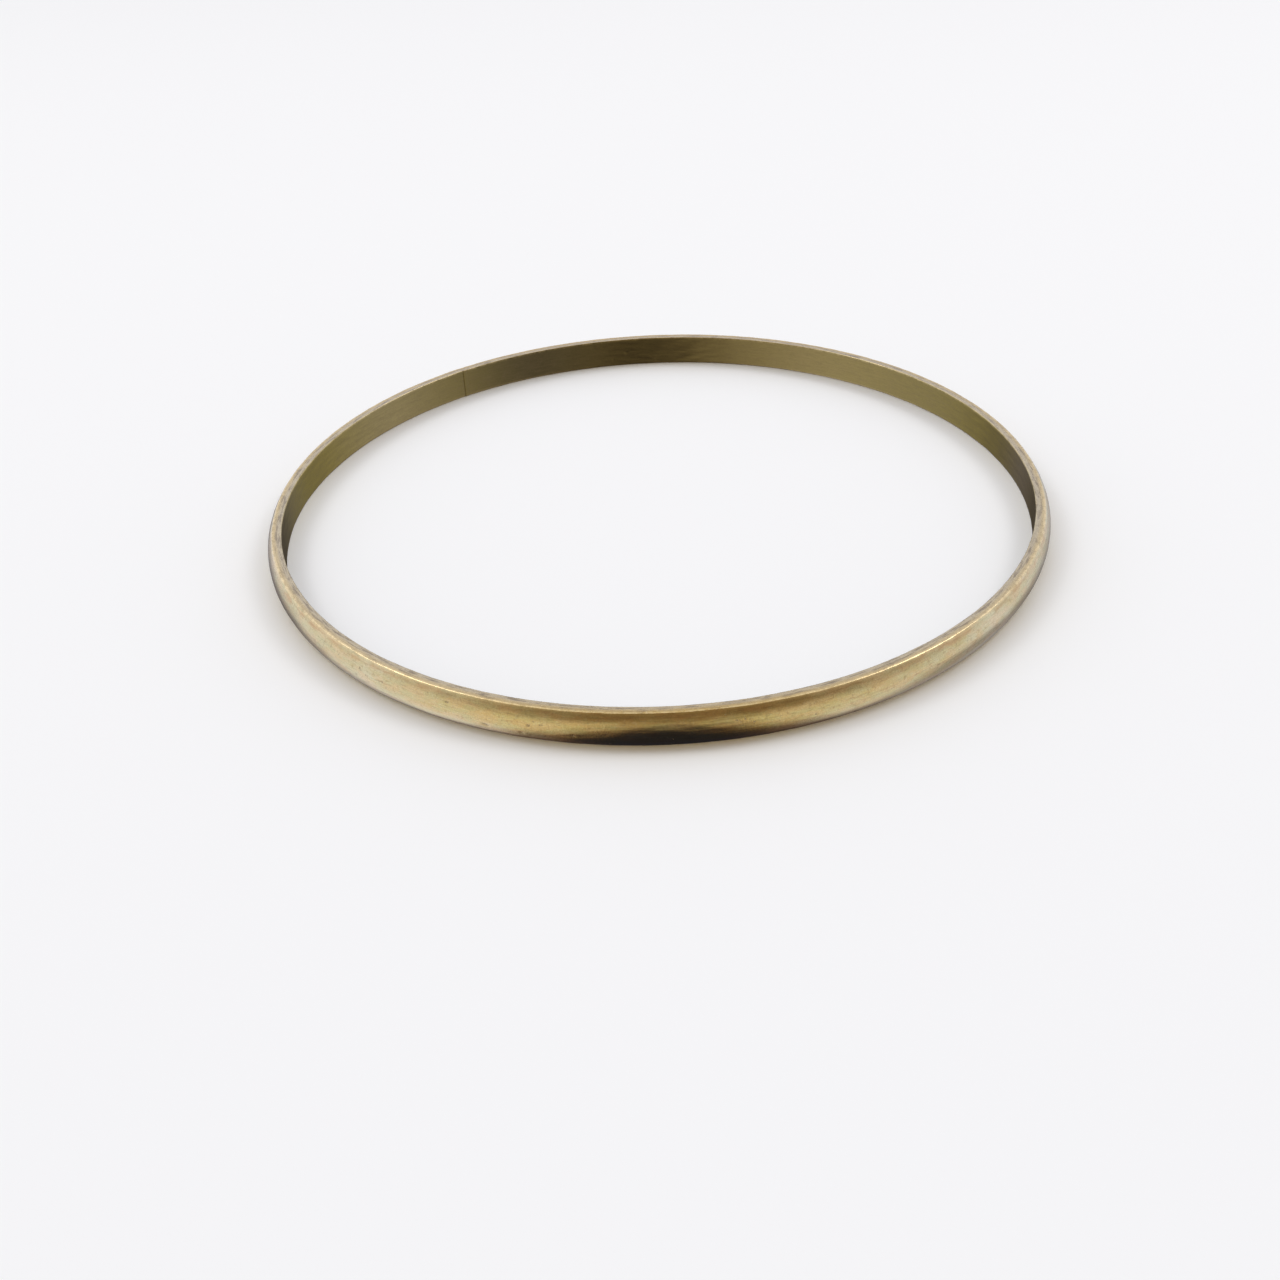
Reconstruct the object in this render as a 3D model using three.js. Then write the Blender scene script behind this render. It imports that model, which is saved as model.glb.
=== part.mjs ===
// A plain closed bangle: one strip of half-round brass, bent flat side inwards into a circle, with
// its two ends hard-soldered together.
//
// Frame: the ring lies flat on the XY plane. The origin is at the middle of the ring, at the height
// of the lower rim, and +Z runs up through the opening. Lengths are in millimetres.

import * as THREE from 'three';

// Driving dimensions
const INNER_DIAMETER = 65; // the opening that the hand goes through
const BAND_HEIGHT = 2.9; // the strip's width, from the lower rim to the upper rim
const RIM_WIDTH = 0.8; // the flat rim between the inner wall and the start of the dome
const DOME_RISE = 0.55; // how far the middle of the dome stands out beyond the rims
const SEAM_AZIMUTH = 126; // where the joint is, in degrees from +X towards +Y
const SEAM_WIDTH = 0.5; // the solder, measured round the inner wall
const SEAM_CLEARANCE = 0.02; // from the solder to each end of the strip

// Fineness of the curves
const BAND_STEPS = 144; // round the ring
const SEAM_STEPS = 1; // across the solder
const DOME_SEGMENTS = 5; // the dome gets twice as many facets as this

// Colours
const BRASS_COLOUR = 0xa8905c;
const SOLDER_COLOUR = 0xb5a274;

const innerRadius = INNER_DIAMETER / 2;

// A level arc round the inner wall, at half the height of the band.
class InnerWallArc extends THREE.Curve {
  constructor(startAngle, endAngle) {
    super();
    this.startAngle = startAngle;
    this.endAngle = endAngle;
  }

  getPoint(t) {
    const angle = THREE.MathUtils.lerp(this.startAngle, this.endAngle, t);
    return new THREE.Vector3(innerRadius * Math.cos(angle), innerRadius * Math.sin(angle), BAND_HEIGHT / 2);
  }

  getTangent(t) {
    const angle = THREE.MathUtils.lerp(this.startAngle, this.endAngle, t);
    return new THREE.Vector3(-Math.sin(angle), Math.cos(angle), 0);
  }
}

// The half-round section. Its x runs across the strip, and its y points to the middle of the ring,
// so the flat wall is at y = 0 and the dome is below it. The dome is the arc of a circle through
// the two rims' outer edges.
function halfRoundSection() {
  const halfHeight = BAND_HEIGHT / 2;
  const domeRadius = (DOME_RISE ** 2 + halfHeight ** 2) / (2 * DOME_RISE);
  const domeCentre = domeRadius - DOME_RISE - RIM_WIDTH;
  const edgeAngle = Math.asin(halfHeight / domeRadius);
  const straightOut = -Math.PI / 2;

  const section = new THREE.Shape();
  section.moveTo(halfHeight, 0);
  section.lineTo(-halfHeight, 0);
  section.lineTo(-halfHeight, -RIM_WIDTH);
  section.absarc(0, domeCentre, domeRadius, straightOut - edgeAngle, straightOut + edgeAngle, false);
  section.closePath();
  return section;
}

// A length of the section that follows the circle from one angle to another.
function bentStrip(name, startAngle, endAngle, steps, colour) {
  const geometry = new THREE.ExtrudeGeometry(halfRoundSection(), {
    extrudePath: new InnerWallArc(startAngle, endAngle),
    steps,
    curveSegments: DOME_SEGMENTS,
  });
  const material = new THREE.MeshStandardMaterial({ color: colour, roughness: 0.38, metalness: 1 });
  const strip = new THREE.Mesh(geometry, material);
  strip.name = name;
  return strip;
}

const seamAngle = THREE.MathUtils.degToRad(SEAM_AZIMUTH);
const halfSolder = SEAM_WIDTH / 2 / innerRadius;
const halfJoint = (SEAM_WIDTH / 2 + SEAM_CLEARANCE) / innerRadius;

const bandStart = seamAngle + halfJoint;
const bandEnd = seamAngle + 2 * Math.PI - halfJoint;

const bangle = new THREE.Group();
bangle.add(bentStrip('band', bandStart, bandEnd, BAND_STEPS, BRASS_COLOUR));
bangle.add(bentStrip('solder_seam', seamAngle - halfSolder, seamAngle + halfSolder, SEAM_STEPS, SOLDER_COLOUR));

export default bangle;
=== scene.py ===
"""A plain aged-brass bangle lying on a pale floor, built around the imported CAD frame.

The band and its soldered joint are fine meshes that follow the CAD section, with rounded and worn
rim edges, a slightly wavy outline, dents, pits and scratches. Lengths are in metres unless a name
or a comment says otherwise, and angles round the ring run from +X towards +Y.
"""

import math
import random
from collections import namedtuple

import bpy
import numpy as np
from mathutils import Matrix, Vector


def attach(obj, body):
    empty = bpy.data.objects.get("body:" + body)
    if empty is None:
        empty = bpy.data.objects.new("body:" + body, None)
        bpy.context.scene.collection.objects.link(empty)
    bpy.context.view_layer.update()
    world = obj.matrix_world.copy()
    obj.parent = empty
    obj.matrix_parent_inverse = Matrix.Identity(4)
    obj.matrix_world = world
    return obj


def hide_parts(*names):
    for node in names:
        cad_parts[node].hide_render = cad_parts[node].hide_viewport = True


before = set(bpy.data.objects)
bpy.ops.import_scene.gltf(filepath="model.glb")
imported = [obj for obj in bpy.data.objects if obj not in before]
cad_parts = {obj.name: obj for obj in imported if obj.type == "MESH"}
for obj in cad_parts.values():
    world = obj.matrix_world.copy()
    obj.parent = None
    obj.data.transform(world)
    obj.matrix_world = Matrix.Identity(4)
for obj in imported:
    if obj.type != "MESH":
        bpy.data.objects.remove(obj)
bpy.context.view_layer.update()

MM = 0.001


# ---------------------------------------------------------------- sizes, read from the CAD frame

RIM_TOLERANCE = 0.01 * MM


def cad_points(node):
    """A CAD node's vertices as radius, angle round the ring and height."""
    points = np.array([v.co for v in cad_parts[node].data.vertices])
    return np.hypot(points[:, 0], points[:, 1]), np.arctan2(points[:, 1], points[:, 0]), points[:, 2]


band_radii, _, band_heights = cad_points("band")
_, seam_angles, _ = cad_points("solder_seam")

HEIGHT = float(band_heights.max())
INNER_RADIUS = float(band_radii.min())
OUTER_RADIUS = float(band_radii.max())
RIM_RADIUS = float(band_radii[band_heights > HEIGHT - RIM_TOLERANCE].max())
DOME_RISE = OUTER_RADIUS - RIM_RADIUS
DOME_CURVE = (DOME_RISE ** 2 + (HEIGHT / 2) ** 2) / (2 * DOME_RISE)
DOME_HALF_ANGLE = math.asin(HEIGHT / 2 / DOME_CURVE)
DOME_CENTRE = OUTER_RADIUS - DOME_CURVE

SEAM_START = float(seam_angles.min())
SEAM_END = float(seam_angles.max())


# ---------------------------------------------------------------- camera

CAMERA_DISTANCE = 4.0 * INNER_RADIUS
CAMERA_ELEVATION = math.radians(28.3)
CAMERA_ROLL = math.radians(-3.07)
CAMERA_LENS_MM = 41.3
CAMERA_SENSOR_MM = 36
CAMERA_CLIP = (0.005, 20)
CAMERA_AIM = Vector((-0.0507 * INNER_RADIUS, -0.747 * INNER_RADIUS, HEIGHT))


def make_camera():
    camera = bpy.data.objects.new("camera", bpy.data.cameras.new("camera"))
    bpy.context.scene.collection.objects.link(camera)
    camera.data.lens = CAMERA_LENS_MM
    camera.data.sensor_width = CAMERA_SENSOR_MM
    camera.data.clip_start, camera.data.clip_end = CAMERA_CLIP
    camera.location = Vector((
        0,
        -CAMERA_DISTANCE * math.cos(CAMERA_ELEVATION),
        HEIGHT + CAMERA_DISTANCE * math.sin(CAMERA_ELEVATION),
    ))
    aimed = (CAMERA_AIM - camera.location).to_track_quat("-Z", "Y")
    camera.rotation_mode = "QUATERNION"
    camera.rotation_quaternion = aimed @ Matrix.Rotation(CAMERA_ROLL, 3, "Z").to_quaternion()
    bpy.context.scene.camera = camera


make_camera()


# ---------------------------------------------------------------- node helpers

class Nodes:
    """Short calls for making a node tree."""

    def __init__(self, tree):
        self.tree = tree
        tree.nodes.clear()

    def add(self, kind, **settings):
        node = self.tree.nodes.new(kind)
        for name, value in settings.items():
            setattr(node, name, value)
        return node

    def feed(self, socket, value):
        if isinstance(value, bpy.types.NodeSocket):
            self.tree.links.new(value, socket)
        else:
            socket.default_value = value

    def math(self, operation, first, second=0.0, third=0.0, clamp=False):
        node = self.add("ShaderNodeMath", operation=operation, use_clamp=clamp)
        for socket, value in zip(node.inputs, (first, second, third)):
            self.feed(socket, value)
        return node.outputs[0]

    def total(self, start, values, weights):
        """A number plus each of the named values times its weight."""
        for name, weight in weights.items():
            start = self.math("MULTIPLY_ADD", values[name], weight, start)
        return start

    def smooth(self, value, low, high, from_value=0.0, to_value=1.0):
        """Goes smoothly from one value to another as the input goes from low to high."""
        node = self.add("ShaderNodeMapRange", interpolation_type="SMOOTHSTEP")
        self.feed(node.inputs["Value"], value)
        node.inputs["From Min"].default_value = low
        node.inputs["From Max"].default_value = high
        node.inputs["To Min"].default_value = from_value
        node.inputs["To Max"].default_value = to_value
        return node.outputs["Result"]

    def mix(self, share, first, second, blend="MIX"):
        node = self.add("ShaderNodeMix", data_type="RGBA", blend_type=blend)
        self.feed(node.inputs["Factor"], share)
        self.feed(node.inputs[6], first)
        self.feed(node.inputs[7], second)
        return node.outputs[2]

    def noise(self, vector, scale, detail, roughness):
        node = self.add("ShaderNodeTexNoise")
        self.feed(node.inputs["Vector"], vector)
        node.inputs["Scale"].default_value = scale
        node.inputs["Detail"].default_value = detail
        node.inputs["Roughness"].default_value = roughness
        return node.outputs["Fac"]

    def stretched(self, vector, scale):
        node = self.add("ShaderNodeMapping")
        self.feed(node.inputs["Vector"], vector)
        node.inputs["Scale"].default_value = scale
        return node.outputs["Vector"]

    def attribute(self, name):
        return self.add("ShaderNodeAttribute", attribute_name=name).outputs["Fac"]


# ---------------------------------------------------------------- light and floor

# Colours are linear. A pair is where a smooth change starts and where it ends, in a direction's x,
# y or z, or in its turn from straight ahead (-Y) or its rise from the horizon, as an angle.
TENT_LEFT = (1.015, 1.06, 1.20, 1)
TENT_RIGHT = (0.917, 0.958, 1.085, 1)
TENT_X = (-0.7, 0.7)
LID_GAIN = (1.2, 1.2, 1.2, 1)
LID_Z = (0.55, 0.90)
BACKDROP = (0.90, 0.905, 0.915, 1)

FRONT_TINT = (0.90, 0.83, 0.55, 1)
FRONT_HALF_WIDTH = math.radians(62)
FRONT_SHARPNESS = 3.0
OPENING_COLOUR = (0.285, 0.214, 0.128, 1)
OPENING_LEFT_TURN = (math.radians(-94), math.radians(-14))
OPENING_RIGHT_TURN = (math.radians(105), math.radians(25))
OPENING_RISE = (math.radians(-14), math.radians(23))

TABLE_SHADE = (0.45, 0.42, 0.395, 1)
TABLE_EDGE_SKEW = 0.29
TABLE_EDGE_SLOPE = 0.285
TABLE_EDGE_SOFTNESS = 0.19
TABLE_Z = (-0.35, -0.60)
FAR_SHADE_LEFT = (0.30, 0.28, 0.28, 1)
FAR_SHADE_RIGHT = (0.53, 0.51, 0.48, 1)
FAR_SHADE_X = (-0.5, 0.5)
FAR_Y = (0.25, 0.72)
FAR_Z = (-0.03, -0.42)
FAR_FOOT_Z = -0.5
FAR_FOOT_SLOPE = 1.2

DARK_STRIP_COLOUR = (0.024, 0.026, 0.043, 1)
DARK_STRIP_HALO_COLOUR = (0.20, 0.126, 0.083, 1)
DARK_STRIP_HALF_WIDTH = 0.13
DARK_STRIP_SLOPE = 0.185
DARK_STRIP_TAPER_Y = (-0.25, 0.45)
DARK_STRIP_TAPER = 0.125
DARK_STRIP_HALO = (0.257, 0.0)
DARK_STRIP_CORE = (0.076, -0.108)
DARK_STRIP_RISE = (math.radians(15), math.radians(-34))


def table_behind(n, tent, x, y, z):
    """The table behind, in shade below the horizon and darkest where it is furthest back."""
    edge = n.math("MULTIPLY_ADD", z, TABLE_EDGE_SLOPE, n.math("MULTIPLY_ADD", x, TABLE_EDGE_SKEW, y))
    behind = n.smooth(edge, -TABLE_EDGE_SOFTNESS, TABLE_EDGE_SOFTNESS)
    tent = n.mix(n.math("MULTIPLY", behind, n.smooth(z, *TABLE_Z)), tent, TABLE_SHADE, "MULTIPLY")

    under_foot = n.math("MINIMUM", n.math("SUBTRACT", z, FAR_FOOT_Z), 0.0)
    far = n.smooth(n.math("MULTIPLY_ADD", under_foot, FAR_FOOT_SLOPE, y), *FAR_Y)
    far_shade = n.mix(n.smooth(x, *FAR_SHADE_X), FAR_SHADE_LEFT, FAR_SHADE_RIGHT)
    return n.mix(n.math("MULTIPLY", far, n.smooth(z, *FAR_Z)), tent, far_shade, "MULTIPLY")


def front_opening(n, tent, turn, rise):
    """The warmer front, and above the horizon the brown shade of the tent's opening."""
    off_front = n.math("ABSOLUTE", n.math("DIVIDE", turn, FRONT_HALF_WIDTH))
    fall = n.math("POWER", off_front, FRONT_SHARPNESS)
    front = n.math("EXPONENT", n.math("MULTIPLY", fall, -1.0))
    tent = n.mix(front, tent, FRONT_TINT, "MULTIPLY")

    opening = n.math("MULTIPLY", n.smooth(turn, *OPENING_LEFT_TURN), n.smooth(turn, *OPENING_RIGHT_TURN))
    opening = n.math("MULTIPLY", opening, n.smooth(rise, *OPENING_RISE))
    return n.mix(opening, tent, OPENING_COLOUR)


def dark_strip(n, tent, x, y, z, rise):
    """A dark strip with a brown halo, which runs forward from under the object and ends behind it."""
    outside = n.math("MULTIPLY_ADD", z, DARK_STRIP_SLOPE, n.math("ABSOLUTE", x))
    outside = n.math("SUBTRACT", outside, DARK_STRIP_HALF_WIDTH)
    outside = n.math("ADD", outside, n.smooth(y, *DARK_STRIP_TAPER_Y, 0.0, DARK_STRIP_TAPER))
    below = n.smooth(rise, *DARK_STRIP_RISE)
    halo = n.math("MULTIPLY", n.smooth(outside, *DARK_STRIP_HALO), below)
    core = n.math("MULTIPLY", n.smooth(outside, *DARK_STRIP_CORE), below)
    tent = n.mix(halo, tent, DARK_STRIP_HALO_COLOUR, "MULTIPLY")
    return n.mix(core, tent, DARK_STRIP_COLOUR)


def make_world():
    """A white light tent, a little duller on the right and brightest overhead. The camera itself
    sees a plain pale backdrop instead."""
    world = bpy.data.worlds.new("light_tent")
    world.use_nodes = True
    bpy.context.scene.world = world
    n = Nodes(world.node_tree)
    split = n.add("ShaderNodeSeparateXYZ")
    n.feed(split.inputs[0], n.add("ShaderNodeTexCoord").outputs["Generated"])
    x, y, z = split.outputs
    turn = n.math("ARCTAN2", x, n.math("MULTIPLY", y, -1.0))
    rise = n.math("ARCSINE", z)

    tent = n.mix(n.smooth(x, *TENT_X), TENT_LEFT, TENT_RIGHT)
    tent = table_behind(n, tent, x, y, z)
    tent = front_opening(n, tent, turn, rise)
    tent = dark_strip(n, tent, x, y, z, rise)
    tent = n.mix(n.smooth(z, *LID_Z), tent, LID_GAIN, "MULTIPLY")

    seen = n.add("ShaderNodeLightPath").outputs["Is Camera Ray"]
    background = n.add("ShaderNodeBackground")
    n.feed(background.inputs["Color"], n.mix(seen, tent, BACKDROP))
    n.feed(n.add("ShaderNodeOutputWorld").inputs["Surface"], background.outputs[0])


LAMP_SIZE = 0.22
LEFT_LAMP_PLACE = (-0.36, 0.10, 0.48)
LEFT_LAMP_POWER = 0.42
RIGHT_LAMP_PLACE = (0.36, 0.10, 0.48)
RIGHT_LAMP_POWER = 0.48


def make_lamp(name, place, power):
    """A round soft lamp that faces the middle of the ring."""
    lamp = bpy.data.objects.new(name, bpy.data.lights.new(name, "AREA"))
    bpy.context.scene.collection.objects.link(lamp)
    lamp.data.shape = "DISK"
    lamp.data.size = LAMP_SIZE
    lamp.data.energy = power
    lamp.location = place
    lamp.rotation_mode = "QUATERNION"
    lamp.rotation_quaternion = (-Vector(place)).to_track_quat("-Z", "Y")


FLOOR_SIZE = 12
FLOOR_DROP = 0.02 * MM
FLOOR_COLOUR = (0.93, 0.925, 0.90, 1)


def make_floor():
    """A plain matt floor, left out of the brass's reflections."""
    bpy.ops.mesh.primitive_plane_add(size=FLOOR_SIZE, location=(0, 0, -FLOOR_DROP))
    floor = bpy.context.object
    floor.name = "floor"
    material = bpy.data.materials.new("pale_floor")
    material.use_nodes = True
    n = Nodes(material.node_tree)
    shader = n.add("ShaderNodeBsdfDiffuse")
    shader.inputs["Color"].default_value = FLOOR_COLOUR
    n.feed(n.add("ShaderNodeOutputMaterial").inputs["Surface"], shader.outputs[0])
    floor.data.materials.append(material)
    floor.visible_glossy = False


make_world()
make_floor()
make_lamp("left_softbox", LEFT_LAMP_PLACE, LEFT_LAMP_POWER)
make_lamp("right_softbox", RIGHT_LAMP_PLACE, RIGHT_LAMP_POWER)

bpy.context.scene.view_settings.view_transform = "Standard"


# ---------------------------------------------------------------- the section of the strip

WALL_SEGMENTS = 22
RIM_SEGMENTS = 7
DOME_SEGMENTS = 30
EDGE_SEGMENTS = 4
INNER_EDGE_ROUND = 0.09 * MM
DOME_TRIM = 0.6  # how much of an edge's radius the dome gives up to its rounding


def rounded_corner(corner, before, after, radius):
    """Points of the arc that rounds a corner between the directions before and after it."""
    before = Vector(before).normalized()
    after = Vector(after).normalized()
    turn = math.acos(max(-1.0, min(1.0, before.dot(after))))
    reach = radius * math.tan(turn / 2)
    start = Vector(corner) - before * reach
    side = Vector((-before.y, before.x))
    if side.dot(after) < 0:
        side = -side
    centre = start + side * radius
    points = []
    for i in range(EDGE_SEGMENTS + 1):
        angle = turn * i / EDGE_SEGMENTS
        points.append(centre - side * radius * math.cos(angle) + before * radius * math.sin(angle))
    return points


def straight(first, last, segments):
    """Points strictly between two points."""
    return [first.lerp(last, i / segments) for i in range(1, segments)]


def section(upper_edge_round, lower_edge_round):
    """The half-round section as (radius, height) points, counter-clockwise from the wall's foot.
    Each point also says what it is on: 'wall', 'rim', 'edge' or 'dome'."""
    slope = DOME_HALF_ANGLE
    dome_foot = (math.sin(slope), math.cos(slope))
    dome_head = (-math.sin(slope), math.cos(slope))
    foot_in = rounded_corner((INNER_RADIUS, 0), (0, -1), (1, 0), INNER_EDGE_ROUND)
    foot_out = rounded_corner((RIM_RADIUS, 0), (1, 0), dome_foot, lower_edge_round)
    head_out = rounded_corner((RIM_RADIUS, HEIGHT), dome_head, (-1, 0), upper_edge_round)
    head_in = rounded_corner((INNER_RADIUS, HEIGHT), (-1, 0), (0, -1), INNER_EDGE_ROUND)

    trim_low = DOME_TRIM * lower_edge_round / DOME_CURVE
    trim_high = DOME_TRIM * upper_edge_round / DOME_CURVE
    dome = []
    for i in range(DOME_SEGMENTS + 1):
        share = i / DOME_SEGMENTS
        angle = -slope + trim_low + share * (2 * slope - trim_low - trim_high)
        dome.append(Vector((
            DOME_CENTRE + DOME_CURVE * math.cos(angle),
            HEIGHT / 2 + DOME_CURVE * math.sin(angle),
        )))

    parts = [
        ("edge", foot_in),
        ("rim", straight(foot_in[-1], foot_out[0], RIM_SEGMENTS)),
        ("edge", foot_out),
        ("dome", dome[1:-1]),
        ("edge", head_out),
        ("rim", straight(head_out[-1], head_in[0], RIM_SEGMENTS)),
        ("edge", head_in),
        ("wall", straight(head_in[-1], foot_in[0], WALL_SEGMENTS)),
    ]
    points = [point for _, group in parts for point in group]
    kinds = [kind for kind, group in parts for _ in group]
    return points, kinds


# ---------------------------------------------------------------- hand work

EDGE_ROUND = 0.155 * MM
UPPER_EDGE_WEAR = 0.75  # how much an edge's radius changes round the ring, as a share of it
LOWER_EDGE_WEAR = 0.60
BEND_SIZE = 0.05 * MM
HAMMER_SIZE = 0.012 * MM
RIM_DIP = 0.035 * MM
JOINT_STEP = 0.04 * MM
JOINT_STEP_FADE = math.radians(3.5)
JOINT_GROOVE = 0.008 * MM
JOINT_GROOVE_WIDTH = 0.11 * MM
JOINT_DIRT = 0.22
SMALL_ANGLE = 1e-9
STREAK_SIZE = 0.0028 * MM
STREAK_LENGTHS = (0.23, 0.31, 0.42, 0.55, 0.74, 1.05)  # millimetres across the strip
STREAK_DRIFT = 9.0
STREAK_STRENGTH = 0.35
STREAK_STRENGTH_CHANGE = 1.5
FIRST_SEED = 11


def waves(seed, count, lowest, highest):
    """A function of the angle round the ring: a sum of seeded waves, about 1 high at most."""
    draw = random.Random(seed)
    terms = []
    for _ in range(count):
        terms.append((draw.randint(lowest, highest), draw.uniform(0, 2 * math.pi), draw.uniform(0.4, 1)))
    total = sum(size for _, _, size in terms)
    return lambda angle: sum(size * np.sin(k * angle + phase) for k, phase, size in terms) / total


bend = waves(FIRST_SEED, count=5, lowest=2, highest=7)
hammer = waves(FIRST_SEED + 1, count=9, lowest=14, highest=60)
upper_dip = waves(FIRST_SEED + 2, count=12, lowest=8, highest=120)
lower_dip = waves(FIRST_SEED + 3, count=12, lowest=8, highest=120)
upper_wear = waves(FIRST_SEED + 4, count=18, lowest=20, highest=420)
lower_wear = waves(FIRST_SEED + 5, count=18, lowest=20, highest=420)
MARKS_SEED = FIRST_SEED + 6
DRIFT_SEED = FIRST_SEED + 20
STRENGTH_SEED = FIRST_SEED + 40


def streaks(angles, across):
    """Long shallow ridges that run along the strip and drift slowly across it."""
    height = np.zeros((len(angles), len(across)))
    for number, length in enumerate(STREAK_LENGTHS):
        drift = STREAK_DRIFT * waves(DRIFT_SEED + number, count=6, lowest=2, highest=26)(angles)
        wave = waves(STRENGTH_SEED + number, count=6, lowest=5, highest=48)(angles)
        strength = np.clip(STREAK_STRENGTH + STREAK_STRENGTH_CHANGE * wave, 0, 1)
        phase = 2 * math.pi * across[None, :] / (length * MM) + drift[:, None]
        height += strength[:, None] * np.sin(phase) * (0.5 + length)
    return STREAK_SIZE * height


# ---------------------------------------------------------------- dents, pits and scratches

# Lengths among these settings are in millimetres.

# The pits that show in front, as (degrees round the ring, share across the dome from its top edge,
# radius, depth).
FRONT_PITS = [
    (228.0, 0.30, 0.16, 0.015), (229.4, 0.42, 0.10, 0.011), (230.6, 0.24, 0.13, 0.014),
    (232.1, 0.36, 0.12, 0.012), (232.9, 0.52, 0.09, 0.010), (227.1, 0.56, 0.11, 0.010),
    (242.5, 0.25, 0.15, 0.015), (248.0, 0.70, 0.24, 0.020), (253.5, 0.45, 0.15, 0.017),
    (255.0, 0.40, 0.13, 0.015), (254.1, 0.33, 0.08, 0.009), (258.8, 0.62, 0.12, 0.011),
    (278.4, 0.30, 0.10, 0.011), (278.9, 0.35, 0.08, 0.010), (279.4, 0.27, 0.09, 0.011),
    (280.0, 0.32, 0.11, 0.012), (280.5, 0.38, 0.07, 0.009), (288.3, 0.55, 0.12, 0.012),
    (297.0, 0.22, 0.11, 0.011), (306.5, 0.44, 0.13, 0.012),
]
FRONT_PIT_DIRT = 0.62

# The scratches in front, as (degrees round the ring, share across the dome, half length, depth,
# slant).
FRONT_SCRATCHES = [
    (262.8, 0.55, 0.5, 0.008, 0.30), (280.6, 0.43, 2.4, 0.007, 0.06), (283.4, 0.36, 1.8, 0.006, 0.09),
    (287.2, 0.22, 1.3, 0.005, 0.05), (277.0, 0.34, 1.9, 0.005, -0.04), (244.0, 0.72, 1.6, 0.006, -0.08),
    (247.5, 0.42, 1.2, 0.004, 0.05), (231.0, 0.40, 1.4, 0.005, 0.10), (296.0, 0.62, 1.5, 0.005, -0.10),
]
FRONT_SCRATCH_HALF_WIDTH = 0.13
SCRATCH_DIRT = 0.15

DENT_COUNT = 90
DENT_HALF_WIDTHS = (0.5, 1.5)
DENT_DEPTHS = (0.004, 0.014)
DENT_STRETCH = 1.4

PIT_COUNT = 750
PIT_CLUSTERS = 60
CLUSTER_SIZES = (1.0, 3.0, 9.0)
CLUSTER_SQUASH = 0.5  # its size across the strip, as a share of its size along it
SMALLEST_PIT = 0.05
LARGEST_PIT = 0.15
PIT_SIZE_RATE = 32  # how fast pits get rarer as they get larger, per millimetre
PIT_DEPTH_SHARE = 0.08  # of a pit's radius
PIT_DIRT = (0.1, 0.55)

# A pit is made of a few bowls, with sizes and places as shares of its radius.
PIT_BOWLS = 3
BOWL_SIZES = (0.5, 0.95)
BOWL_SPREAD_ALONG = 0.55
BOWL_SPREAD_ACROSS = 0.35
BOWL_STRETCH = (1.1, 2.2)
BOWL_DIRT = (0.6, 1)

SCRATCH_COUNT = 80
SCRATCH_HALF_LENGTHS = (0.5, 2.6)
SCRATCH_HALF_WIDTHS = (0.10, 0.15)
SCRATCH_DEPTHS = (0.002, 0.005)
SCRATCH_SLANT = 0.10

# A bowl in the surface, with lengths in metres.
Mark = namedtuple("Mark", "angle place half_length half_width depth dirt slant")


def pit(draw, angle, place, radius, depth, dirt):
    """A few overlapping bowls, longer along the strip than across it."""
    bowls = []
    for _ in range(PIT_BOWLS):
        size = radius * draw.uniform(*BOWL_SIZES)
        turned = angle + draw.gauss(0, BOWL_SPREAD_ALONG) * radius / OUTER_RADIUS
        moved = place + draw.gauss(0, BOWL_SPREAD_ACROSS) * radius
        half_length = size * draw.uniform(*BOWL_STRETCH)
        bowls.append(Mark(turned, moved, half_length, size, depth, dirt * draw.uniform(*BOWL_DIRT), 0.0))
    return bowls


def all_marks(dome_top, dome_length, length_round):
    """Every dent, pit and scratch, in the one order that the seeded draws are made in."""
    draw = random.Random(MARKS_SEED)
    marks = []
    for degrees, share, radius, depth in FRONT_PITS:
        place = dome_top - share * dome_length
        marks += pit(draw, math.radians(degrees), place, radius * MM, depth * MM, FRONT_PIT_DIRT)

    for _ in range(DENT_COUNT):
        angle = draw.uniform(0, 2 * math.pi)
        half_width = draw.uniform(*DENT_HALF_WIDTHS) * MM
        depth = draw.uniform(*DENT_DEPTHS) * MM
        place = draw.uniform(0, length_round)
        marks.append(Mark(angle, place, DENT_STRETCH * half_width, half_width, depth, 0.0, 0.0))

    centres = []
    for _ in range(PIT_CLUSTERS):
        centres.append((draw.uniform(0, 2 * math.pi), draw.uniform(0, length_round)))
    for _ in range(PIT_COUNT):
        angle, place = draw.choice(centres)
        spread = draw.choice(CLUSTER_SIZES) * MM
        angle += draw.gauss(0, spread / INNER_RADIUS)
        place = (place + draw.gauss(0, CLUSTER_SQUASH * spread)) % length_round
        radius = min(LARGEST_PIT, SMALLEST_PIT + draw.expovariate(PIT_SIZE_RATE)) * MM
        marks += pit(draw, angle, place, radius, PIT_DEPTH_SHARE * radius, draw.uniform(*PIT_DIRT))

    half_width = FRONT_SCRATCH_HALF_WIDTH * MM
    for degrees, share, half_length, depth, slant in FRONT_SCRATCHES:
        angle = math.radians(degrees)
        place = dome_top - share * dome_length
        marks.append(Mark(angle, place, half_length * MM, half_width, depth * MM, SCRATCH_DIRT, slant))

    for _ in range(SCRATCH_COUNT):
        angle = draw.uniform(0, 2 * math.pi)
        place = draw.uniform(0, length_round)
        half_length = draw.uniform(*SCRATCH_HALF_LENGTHS) * MM
        half_width = draw.uniform(*SCRATCH_HALF_WIDTHS) * MM
        depth = draw.uniform(*SCRATCH_DEPTHS) * MM
        slant = draw.gauss(0, SCRATCH_SLANT)
        dirt = draw.uniform(0, SCRATCH_DIRT)
        marks.append(Mark(angle, place, half_length, half_width, depth, dirt, slant))
    return marks
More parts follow.
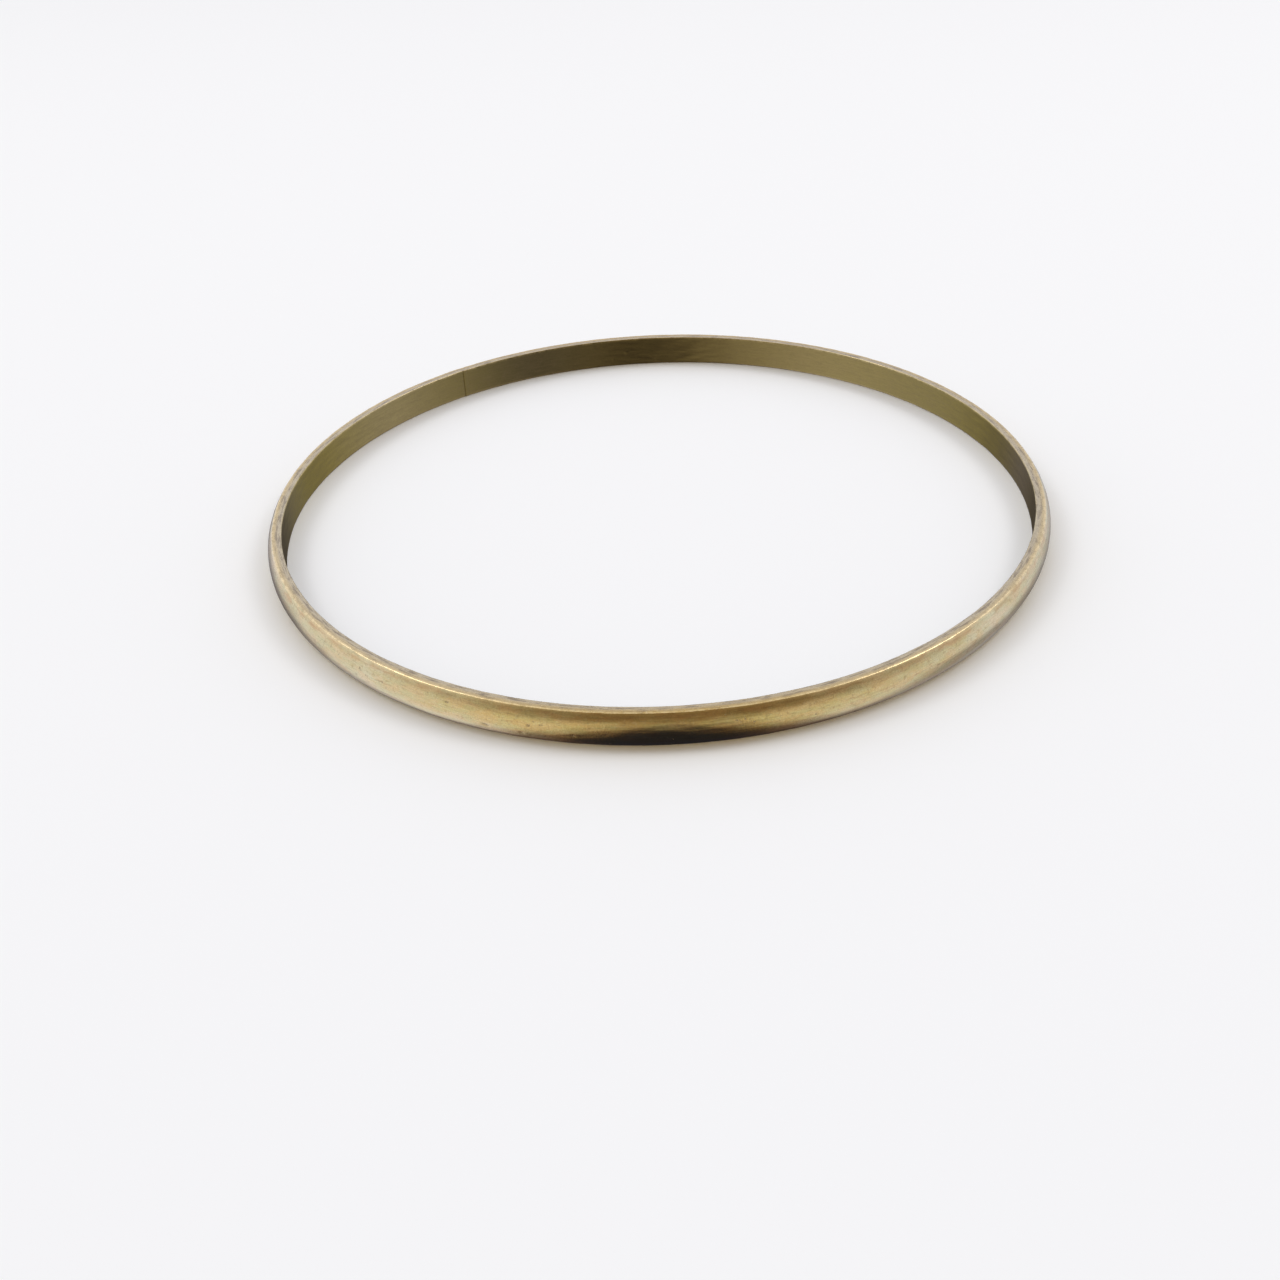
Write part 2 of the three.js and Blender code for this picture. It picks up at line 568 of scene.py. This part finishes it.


# ---------------------------------------------------------------- how the finish, and painted light and shade, change round the ring

# How strong each finish is: a plain value, and then (degrees, half width in degrees, change).
# The wall's plain value darkens it towards WALL_DARK, partly tarnish and partly painted shade; its changes
# round the ring are painted reflected light and shade, lighter or darker as the surroundings are.
WALL_TARNISH_AND_PAINTED_SHADE = 0.70
WALL_PAINTED_SHADE_CHANGES = [
    (112, 15, -0.42), (149, 13, 0.42), (88, 8, 0.22), (55, 14, 0.18), (14, 12, 0.22), (0, 8, 0.38),
    (172, 12, 0.28), (210, 25, -0.10),
]
WALL_BROWN = 0.45
WALL_BROWN_CHANGES = [(75, 34, 0.65), (143, 14, 0.50), (172, 12, -0.45), (15, 12, -0.20), (2, 7, 0.60)]
RIM_GOLD = 0.15
RIM_GOLD_CHANGES = [(270, 24, 0.85), (90, 60, 0.70)]
# The dome's gold at 270 degrees, in front, is a painted warm reflection of the light from the front; its
# other changes are rubbed gold.
DOME_GOLD_AND_FRONT_REFLECTION = 0.0
DOME_GOLD_AND_FRONT_REFLECTION_CHANGES = [(270, 34, 0.80), (95, 40, 0.55), (30, 14, 0.35), (165, 12, 0.40)]


def round_the_ring(angles, plain, changes):
    """A value that changes smoothly round the ring, as a column with one row for each angle."""
    value = np.full_like(angles, plain)
    for degrees, half_width, change in changes:
        turned = (np.degrees(angles) - degrees + 180) % 360 - 180
        value += change * np.exp(-(turned / half_width) ** 2)
    return value[:, None]


# ---------------------------------------------------------------- the strip's mesh

OUTER_SIDE = 0.3 * MM  # edges further out than this from the wall are the dome's
WALL_FADE = 0.06 * MM
EDGE_FADE = 0.07 * MM
INNER_EDGE_FADE = 0.05 * MM
INNER_EDGE_WEAR = 0.30
STAIN_PLACE = 0.22 * MM
STAIN_HALF_WIDTH = 0.20 * MM


def worn_profile(angles):
    """The section at each angle, with its own edge wear, and what each of its points is on."""
    rows = []
    for angle in angles:
        upper = EDGE_ROUND * (1 + UPPER_EDGE_WEAR * float(upper_wear(angle)))
        lower = EDGE_ROUND * (1 + LOWER_EDGE_WEAR * float(lower_wear(angle)))
        points, kinds = section(upper, lower)
        rows.append([(p.x, p.y) for p in points])
    return np.array(rows), np.array(kinds)


def measure(mean):
    """The mean section's outward normals, each point's distance along it, and its whole length."""
    before = mean - np.roll(mean, 1, axis=0)
    after = np.roll(mean, -1, axis=0) - mean
    before_length = np.linalg.norm(before, axis=1)
    after_length = np.linalg.norm(after, axis=1)
    tangent = before / before_length[:, None] + after / after_length[:, None]
    tangent /= np.linalg.norm(tangent, axis=1)[:, None]
    normal = np.stack([tangent[:, 1], -tangent[:, 0]], axis=1)
    across = np.concatenate([[0], np.cumsum(after_length)])
    return normal, across[:-1], float(across[-1])


def wear(angles, kinds, across, length_round):
    """How far each point is sunk below the new surface, and how much dirt it holds."""
    dome = across[kinds == "dome"]
    sink = np.zeros((len(angles), len(across)))
    dirt = np.zeros((len(angles), len(across)))
    for mark in all_marks(dome[-1], dome[-1] - dome[0], length_round):
        past = ((angles - mark.angle + math.pi) % (2 * math.pi) - math.pi) * OUTER_RADIUS
        reach = mark.half_width + abs(mark.slant) * mark.half_length
        rows = np.flatnonzero(np.abs(past) < mark.half_length)
        columns = np.flatnonzero(np.abs(across - mark.place) < reach)
        past = past[rows][:, None]
        aside = across[columns][None, :] - mark.place - mark.slant * past
        bowl = np.clip(1 - (past / mark.half_length) ** 2 - (aside / mark.half_width) ** 2, 0, 1)
        spot = np.ix_(rows, columns)
        sink[spot] += mark.depth * bowl ** 2
        dirt[spot] = np.maximum(dirt[spot], mark.dirt * bowl)

    from_joint = np.minimum(np.abs(angles - SEAM_START), np.abs(angles - SEAM_END))
    from_joint = np.minimum(from_joint, np.abs(angles - SEAM_START - 2 * math.pi))
    groove = np.exp(-(from_joint * OUTER_RADIUS / JOINT_GROOVE_WIDTH) ** 2)[:, None]
    sink += JOINT_GROOVE * groove
    dirt = np.maximum(dirt, JOINT_DIRT * groove)
    ridged = kinds != "edge"
    sink -= np.where(ridged[None, :], streaks(angles, across), 0)
    return sink, dirt


def bent_vertices(angles, profile, normal, sink):
    """The strip's vertices, bent by hand into a ring that isn't quite round or flat."""
    r = profile[:, :, 0] - sink * normal[None, :, 0]
    z = profile[:, :, 1] - sink * normal[None, :, 1]
    past_joint = np.clip(angles - SEAM_END, 0, None)
    joint_step = JOINT_STEP * np.exp(-past_joint / JOINT_STEP_FADE) * (angles > SEAM_END - SMALL_ANGLE)
    r += (BEND_SIZE * bend(angles) + HAMMER_SIZE * hammer(angles))[:, None]
    r += joint_step[:, None]
    height_share = profile[:, :, 1] / HEIGHT
    z -= height_share * RIM_DIP * (0.5 + 0.5 * upper_dip(angles))[:, None]
    z += (1 - height_share) * RIM_DIP * (0.5 + 0.5 * lower_dip(angles))[:, None]
    x = r * np.cos(angles)[:, None]
    y = r * np.sin(angles)[:, None]
    return np.stack([x, y, z], axis=2).reshape(-1, 3)


def closed_mesh(name, vertices, steps, ring):
    """A mesh of steps + 1 rings of vertices, smooth along its sides, with flat sharp ends."""
    faces = []
    for i in range(steps):
        for j in range(ring):
            k = (j + 1) % ring
            faces.append((i * ring + j, i * ring + k, (i + 1) * ring + k, (i + 1) * ring + j))
    faces.append(tuple(reversed(range(ring))))
    faces.append(tuple(range(steps * ring, (steps + 1) * ring)))
    mesh = bpy.data.meshes.new(name)
    mesh.from_pydata(vertices.tolist(), [], faces)
    mesh.update()
    for polygon in mesh.polygons:
        polygon.use_smooth = len(polygon.vertices) == 4
    for edge in mesh.edges:
        first, second = sorted(edge.vertices)
        edge.use_edge_sharp = second < ring or first >= steps * ring
    return mesh


def distance_to(chosen, across, length_round):
    """How far along the section each point is from the nearest of the chosen ones."""
    apart = np.abs(across[:, None] - across[chosen][None, :])
    return np.minimum(apart, length_round - apart).min(axis=1)


def surface_shares(angles, mean, kinds, across, length_round, dirt):
    """What the material reads at each vertex: the place along and across the strip in millimetres,
    how far it is on the wall, a rim, an edge, the stain beside an edge and in dirt, and how each
    finish changes round the ring, with the painted light and shade on the wall and the painted
    warm reflection on the front of the dome. Rows and columns are spread to the whole surface when stored."""
    radius = mean[:, 0]
    outer = radius > INNER_RADIUS + OUTER_SIDE
    to_outer_edge = distance_to((kinds == "edge") & outer, across, length_round)
    to_inner_edge = distance_to((kinds == "edge") & ~outer, across, length_round)
    edge = np.exp(-to_outer_edge / EDGE_FADE) + INNER_EDGE_WEAR * np.exp(-to_inner_edge / INNER_EDGE_FADE)
    wall = np.clip((INNER_RADIUS + WALL_FADE - radius) / WALL_FADE, 0, 1)
    rim = (radius < RIM_RADIUS) & np.isin(kinds, ("rim", "edge")) & (wall < 0.5)
    return {
        "along": (angles * OUTER_RADIUS / MM)[:, None],
        "across": across / MM,
        "wall_share": wall,
        "rim_share": rim,
        "rim_place": (radius - INNER_RADIUS) / (RIM_RADIUS - INNER_RADIUS),
        "edge_share": edge,
        "stain_share": np.exp(-((to_outer_edge - STAIN_PLACE) / STAIN_HALF_WIDTH) ** 2),
        "pit_share": dirt,
        "wall_tarnish_and_painted_shade": round_the_ring(angles, WALL_TARNISH_AND_PAINTED_SHADE, WALL_PAINTED_SHADE_CHANGES),
        "rim_gold": round_the_ring(angles, RIM_GOLD, RIM_GOLD_CHANGES),
        "dome_gold_and_front_reflection": round_the_ring(angles, DOME_GOLD_AND_FRONT_REFLECTION, DOME_GOLD_AND_FRONT_REFLECTION_CHANGES),
        "wall_brown": round_the_ring(angles, WALL_BROWN, WALL_BROWN_CHANGES),
    }


def make_strip(name, start, end, steps):
    """A closed mesh of the section swept from one angle to another, with flat ends. Its vertices
    carry the surface shares."""
    angles = start + (end - start) * np.arange(steps + 1) / steps
    profile, kinds = worn_profile(angles)
    mean = profile.mean(axis=0)
    normal, across, length_round = measure(mean)
    sink, dirt = wear(angles, kinds, across, length_round)
    vertices = bent_vertices(angles, profile, normal, sink)
    mesh = closed_mesh(name, vertices, steps, len(kinds))
    for share, values in surface_shares(angles, mean, kinds, across, length_round, dirt).items():
        layer = mesh.attributes.new(share, "FLOAT", "POINT")
        values = np.broadcast_to(values, dirt.shape).astype(np.float32)
        layer.data.foreach_set("value", values.ravel())
    piece = bpy.data.objects.new(name, mesh)
    bpy.context.scene.collection.objects.link(piece)
    return piece


# ---------------------------------------------------------------- material

BRASS = (0.62, 0.515, 0.30, 1)
SOLDER = (0.64, 0.56, 0.36, 1)
GOLDEN = (0.60, 0.45, 0.205, 1)
# A gold for rubbed brass, also used for the painted warm reflection on the front of the dome.
RUBBED_GOLD_AND_WARM_REFLECTION = (0.605, 0.445, 0.195, 1)
PALE_FILM = (0.66, 0.57, 0.38, 1)
BROWN_FILM = (0.38, 0.27, 0.14, 1)
RED_STAIN = (0.45, 0.28, 0.15, 1)
REDDISH = (1.04, 0.975, 0.945, 1)
GREENISH = (0.972, 1.01, 0.985, 1)
RIM_INNER_COLOUR = (0.50, 0.415, 0.285, 1)
RIM_OUTER_COLOUR = (0.57, 0.44, 0.245, 1)
RIM_GOLD_COLOUR = (0.46, 0.30, 0.10, 1)
RIM_SPOT = (0.23, 0.175, 0.12, 1)
WALL_OLIVE = (0.33, 0.25, 0.03, 1)
WALL_BROWN_COLOUR = (0.315, 0.243, 0.105, 1)
# The dark the wall is painted towards, for tarnish and for painted shade.
WALL_DARK = (0.0, 0.0, 0.02, 1)
WORN_EDGE = (0.80, 0.625, 0.36, 1)
DIRT = (0.18, 0.125, 0.075, 1)

# Noises with no direction, as (scale per millimetre, detail, roughness).
EVEN_NOISES = {
    "blotch": (0.16, 3.0, 0.6),
    "mottle": (3.2, 4.0, 0.65),
    "freckle": (6.5, 3.0, 0.6),
    "grain": (12.0, 2.0, 0.6),
}
# Noises that follow the strip, as (share of the scale along it, share across it, scale per
# millimetre, detail, roughness).
STRIP_NOISES = {
    "patch": (0.5, 1.3, 0.9, 4.0, 0.6),
    "tint": (0.55, 1.7, 1.0, 3.0, 0.55),
    "streak": (0.55, 4.5, 1.0, 4.0, 0.65),
    "brush": (0.55, 9.0, 1.0, 3.0, 0.65),
    "hair": (0.22, 17.0, 1.3, 2.0, 0.5),
    "worn_patch": (1.0, 1.0, 1.6, 3.0, 0.7),
}

# Films on the metal, as (noise, where the film starts and is full, its share there, its colour).
GROUND_FILMS = [("blotch", 0.40, 0.62, 1.0, PALE_FILM), ("patch", 0.46, 0.66, 0.50, GOLDEN)]
UPPER_FILMS = [("freckle", 0.50, 0.70, 0.45, PALE_FILM), ("mottle", 0.52, 0.74, 0.50, BROWN_FILM)]
STREAK_FILMS = [("streak", 0.54, 0.72, 0.50, BROWN_FILM)]
RIM_SPOTS = [("mottle", 0.50, 0.70, 0.35, RIM_SPOT)]
WALL_DIRT = [("streak", 0.40, 0.66, 0.15, DIRT), ("mottle", 0.50, 0.72, 0.20, DIRT)]

# Smooth changes, as (low, high), or as (low, high, value at low, value at high).
GOLD_AND_WARM_REFLECTION_PATCHES = (0.30, 0.55, 0.75, 1.0)
STAIN_PATCHES = (0.40, 0.62, 0.0, 0.45)
TINTS = (0.40, 0.60)
RIM_PLACES = (0.30, 0.85)
RIM_STREAKS = (0.47, 0.62, 0.0, 0.80)
RIM_STREAK_PLACES = (0.95, 0.50, 0.2, 1.0)
RIM_FRECKLES = (0.52, 0.70, 0.0, 0.35)
WORN_PATCHES = (0.36, 0.62)
RAGGED_DIRT = (0.10, 0.85, 0.0, 0.85)
DIRT_FADE = (0.0, 0.15)

INNER_RIM_GOLD = 0.28
WORN_SHARE = 0.75
RAGGEDNESS = 1.1
TONE_PLAIN = 0.56
TONE_WEIGHTS = {"grain": 0.46, "brush": 0.42}
ROUGHNESS_PLAIN = 0.085
ROUGHNESS_WEIGHTS = {
    "brush": 0.12, "mottle": 0.10, "wall_share": 0.13, "rim_share": 0.08, "worn": 0.04, "dirt": 0.35,
}
METALLIC_PLAIN = 1.0
METALLIC_WEIGHTS = {"dirt": -0.45}
RELIEF_DEPTH = 0.006 * MM
RELIEF_WEIGHTS = {"hair": 0.45, "brush": 0.55, "grain": 0.60, "mottle": 0.80, "dirt": -0.6}


def surface_values(n):
    """The shares that the mesh carries, and every noise, by name."""
    names = ("along", "across", "wall_share", "rim_share", "rim_place", "edge_share", "stain_share",
             "pit_share", "wall_tarnish_and_painted_shade", "rim_gold", "dome_gold_and_front_reflection", "wall_brown")
    surface = {name: n.attribute(name) for name in names}
    millimetres = n.stretched(n.add("ShaderNodeTexCoord").outputs["Object"], (1 / MM, 1 / MM, 1 / MM))
    for name, (scale, detail, roughness) in EVEN_NOISES.items():
        surface[name] = n.noise(millimetres, scale, detail, roughness)
    strip = n.add("ShaderNodeCombineXYZ")
    n.feed(strip.inputs[0], surface["along"])
    n.feed(strip.inputs[1], surface["across"])
    for name, (along, across, scale, detail, roughness) in STRIP_NOISES.items():
        surface[name] = n.noise(n.stretched(strip.outputs[0], (along, across, 1)), scale, detail, roughness)
    return surface


def add_films(n, surface, colour, films):
    """Lays each film of a list over the colour in turn."""
    for noise, start, full, share, film in films:
        colour = n.mix(n.smooth(surface[noise], start, full, 0.0, share), colour, film)
    return colour


def dome_colour(n, surface, base):
    """Satin brass, rubbed golden in places and golden in front as a painted warm reflection, under pale and
    brown films and faint tarnish.
    """
    colour = add_films(n, surface, base, GROUND_FILMS)
    # Golden patches: rubbed gold, and in front a painted warm reflection.
    gold_and_warm_reflection = n.math("MULTIPLY", surface["dome_gold_and_front_reflection"], n.smooth(surface["patch"], *GOLD_AND_WARM_REFLECTION_PATCHES), clamp=True)
    colour = n.mix(gold_and_warm_reflection, colour, RUBBED_GOLD_AND_WARM_REFLECTION)
    colour = add_films(n, surface, colour, UPPER_FILMS)
    stain = n.math("MULTIPLY", surface["stain_share"], n.smooth(surface["patch"], *STAIN_PATCHES))
    colour = n.mix(stain, colour, RED_STAIN)
    colour = add_films(n, surface, colour, STREAK_FILMS)
    tint = n.mix(n.smooth(surface["tint"], *TINTS), GREENISH, REDDISH)
    return n.mix(1.0, colour, tint, "MULTIPLY")


def rim_colour(n, surface, base):
    """Greyer brass with dark streaks towards the wall, golden towards the dome."""
    inner_gold = n.math("MULTIPLY", surface["rim_gold"], INNER_RIM_GOLD)
    inner = n.mix(inner_gold, RIM_INNER_COLOUR, RIM_GOLD_COLOUR)
    outer = n.mix(surface["rim_gold"], RIM_OUTER_COLOUR, RIM_GOLD_COLOUR)
    colour = n.mix(n.smooth(surface["rim_place"], *RIM_PLACES), inner, outer)
    colour = add_films(n, surface, colour, RIM_SPOTS)
    streaked = n.smooth(surface["streak"], *RIM_STREAKS)
    streaked = n.math("MULTIPLY", streaked, n.smooth(surface["rim_place"], *RIM_STREAK_PLACES))
    colour = n.mix(streaked, colour, RIM_SPOT)
    return n.mix(n.smooth(surface["freckle"], *RIM_FRECKLES), colour, base)


def wall_colour(n, surface):
    """An olive wall, brown in places, darkened partly by tarnish and partly by painted shade, with painted
    reflected light and shade that change round the ring.
    """
    colour = n.mix(surface["wall_brown"], WALL_OLIVE, WALL_BROWN_COLOUR)
    # Darkens the wall towards WALL_DARK: tarnish, and painted reflected light and shade round the ring.
    colour = n.mix(surface["wall_tarnish_and_painted_shade"], WALL_DARK, colour)
    return add_films(n, surface, colour, WALL_DIRT)


def brass_colour(n, surface, base):
    """The three surfaces' colours with their pale worn edges, brush lines and dirty pits."""
    colour = n.mix(surface["rim_share"], dome_colour(n, surface, base), rim_colour(n, surface, base))
    colour = n.mix(surface["wall_share"], colour, wall_colour(n, surface))
    # Worn edges turn golden where the dome is golden, in front as a painted warm reflection.
    worn_colour = n.mix(surface["dome_gold_and_front_reflection"], WORN_EDGE, RUBBED_GOLD_AND_WARM_REFLECTION)
    colour = n.mix(n.math("MULTIPLY", surface["worn"], WORN_SHARE), colour, worn_colour)
    lightness = n.total(TONE_PLAIN, surface, TONE_WEIGHTS)
    tone = n.add("ShaderNodeCombineColor")
    for socket in tone.inputs:
        n.feed(socket, lightness)
    colour = n.mix(1.0, colour, tone.outputs[0], "MULTIPLY")
    return n.mix(surface["dirt"], colour, DIRT)


def make_brass(name, base):
    """Old brass on a base colour, with brush lines, films, dark pits, worn edges and fine relief."""
    material = bpy.data.materials.new(name)
    material.use_nodes = True
    n = Nodes(material.node_tree)
    surface = surface_values(n)
    worn_patches = n.smooth(surface["worn_patch"], *WORN_PATCHES)
    surface["worn"] = n.math("MULTIPLY", surface["edge_share"], worn_patches, clamp=True)
    off_middle = n.math("SUBTRACT", surface["freckle"], 0.5)
    ragged = n.smooth(n.math("MULTIPLY_ADD", off_middle, RAGGEDNESS, surface["pit_share"]), *RAGGED_DIRT)
    surface["dirt"] = n.math("MULTIPLY", ragged, n.smooth(surface["pit_share"], *DIRT_FADE))

    bump = n.add("ShaderNodeBump")
    bump.inputs["Strength"].default_value = 1.0
    bump.inputs["Distance"].default_value = RELIEF_DEPTH
    n.feed(bump.inputs["Height"], n.total(0.0, surface, RELIEF_WEIGHTS))

    shader = n.add("ShaderNodeBsdfPrincipled")
    n.feed(shader.inputs["Base Color"], brass_colour(n, surface, base))
    n.feed(shader.inputs["Roughness"], n.total(ROUGHNESS_PLAIN, surface, ROUGHNESS_WEIGHTS))
    n.feed(shader.inputs["Metallic"], n.total(METALLIC_PLAIN, surface, METALLIC_WEIGHTS))
    n.feed(shader.inputs["Normal"], bump.outputs[0])
    n.feed(n.add("ShaderNodeOutputMaterial").inputs["Surface"], shader.outputs[0])
    return material


# ---------------------------------------------------------------- the pieces

BAND_STEPS = 2000
SEAM_STEPS = 6

band = make_strip("brass_band", SEAM_END, SEAM_START + 2 * math.pi, BAND_STEPS)
band.data.materials.append(make_brass("aged_brass", BRASS))
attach(band, "root")
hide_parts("band")

seam = make_strip("soldered_joint", SEAM_START, SEAM_END, SEAM_STEPS)
seam.data.materials.append(make_brass("hard_solder", SOLDER))
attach(seam, "root")
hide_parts("solder_seam")
